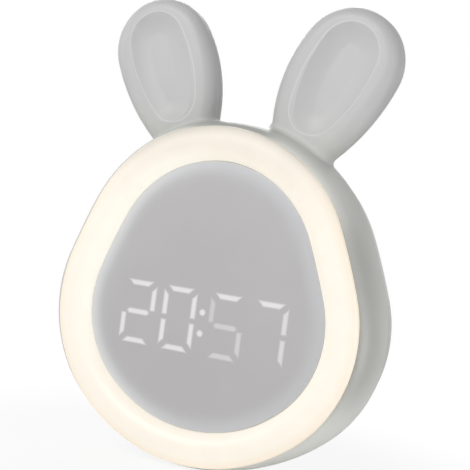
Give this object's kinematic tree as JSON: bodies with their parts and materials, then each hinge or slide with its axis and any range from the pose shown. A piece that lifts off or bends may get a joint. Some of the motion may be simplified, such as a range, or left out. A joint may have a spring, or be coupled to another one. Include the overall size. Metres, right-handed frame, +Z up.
{
  "type": "alarm clock",
  "caption": "Kids' alarm clock and night light: grey digital face in a lit ring, two ears, keys, slider, speaker and battery door behind.",
  "frame": {"origin": "on the table, under the middle of the whole object's box", "axes": "+Z up; the face looks towards -Y; X runs across the face, to the right of a person who looks at it"},
  "size_m": [0.1431, 0.0488, 0.1888],
  "materials": {
    "housing_plastic": "satin moulded",
    "ring_diffuser": "milky diffuser",
    "panel_plastic": "translucent grey",
    "tray_plastic": "white reflector",
    "circuit_board": "solder mask",
    "lamp_plastic": "cast lens",
    "module_plastic": "moulded",
    "segment_diffuser": "milky diffuser",
    "component_plastic": "moulded",
    "capacitor_sleeve": "drawn",
    "ribbon_sheath": "flexible",
    "key_plastic": "satin moulded",
    "socket_shell": "stamped",
    "speaker_basket": "stamped",
    "cone_paper": "pressed paper",
    "cell_jacket": "shrink sleeve",
    "contact_nickel": "nickel plated",
    "foot_rubber": "soft",
    "screw_steel": "zinc plated"
  },
  "bodies": {
    "root": {"front_housing": "housing_plastic", "rear_housing": "housing_plastic", "light_ring": "ring_diffuser", "display_panel": "panel_plastic", "display_tray": "tray_plastic", "light_board": "circuit_board", "ring_leds": "lamp_plastic", "display_module": "module_plastic", "lit_segments": "segment_diffuser", "dark_segments": "segment_diffuser", "main_board": "circuit_board", "main_chip": "component_plastic", "capacitors": "capacitor_sleeve", "control_board": "circuit_board", "ribbon_connectors": "component_plastic", "ribbon_cable": "ribbon_sheath", "key_switches": "component_plastic", "slide_switch": "component_plastic", "usb_socket": "socket_shell", "speaker": "speaker_basket", "speaker_cone": "cone_paper", "battery_cells": "cell_jacket", "battery_contacts": "contact_nickel", "battery_springs": "contact_nickel", "rubber_feet": "foot_rubber", "tray_screws": "screw_steel", "board_screws": "screw_steel", "control_screws": "screw_steel", "rear_screws": "screw_steel"},
    "alarm_key": {"alarm_key": "key_plastic"},
    "time_key": {"time_key": "key_plastic"},
    "minus_key": {"minus_key": "key_plastic"},
    "plus_key": {"plus_key": "key_plastic"},
    "light_key": {"light_key": "key_plastic"},
    "power_slider": {"power_slider": "key_plastic"},
    "battery_door": {"battery_door": "housing_plastic"}
  },
  "joints": [
    {"name": "alarm_key_press", "type": "slide", "parent": "root", "child": "alarm_key", "axis": [0, -1, 0], "range_m": [0, 0.0008], "stiffness_N_per_m": 300},
    {"name": "time_key_press", "type": "slide", "parent": "root", "child": "time_key", "axis": [0, -1, 0], "range_m": [0, 0.0008], "stiffness_N_per_m": 300},
    {"name": "minus_key_press", "type": "slide", "parent": "root", "child": "minus_key", "axis": [0, -1, 0], "range_m": [0, 0.0008], "stiffness_N_per_m": 300},
    {"name": "plus_key_press", "type": "slide", "parent": "root", "child": "plus_key", "axis": [0, -1, 0], "range_m": [0, 0.0008], "stiffness_N_per_m": 300},
    {"name": "light_key_press", "type": "slide", "parent": "root", "child": "light_key", "axis": [0, -1, 0], "range_m": [0, 0.0008], "stiffness_N_per_m": 300},
    {"name": "power_slide", "type": "slide", "parent": "root", "child": "power_slider", "axis": [1, 0, 0], "range_m": [0, 0.003]},
    {"name": "door_hinge", "type": "hinge", "parent": "root", "child": "battery_door", "pos_m": [0, 0.02155, 0.02485], "axis": [-1, 0, 0], "range_deg": [0, 40]}
  ]
}
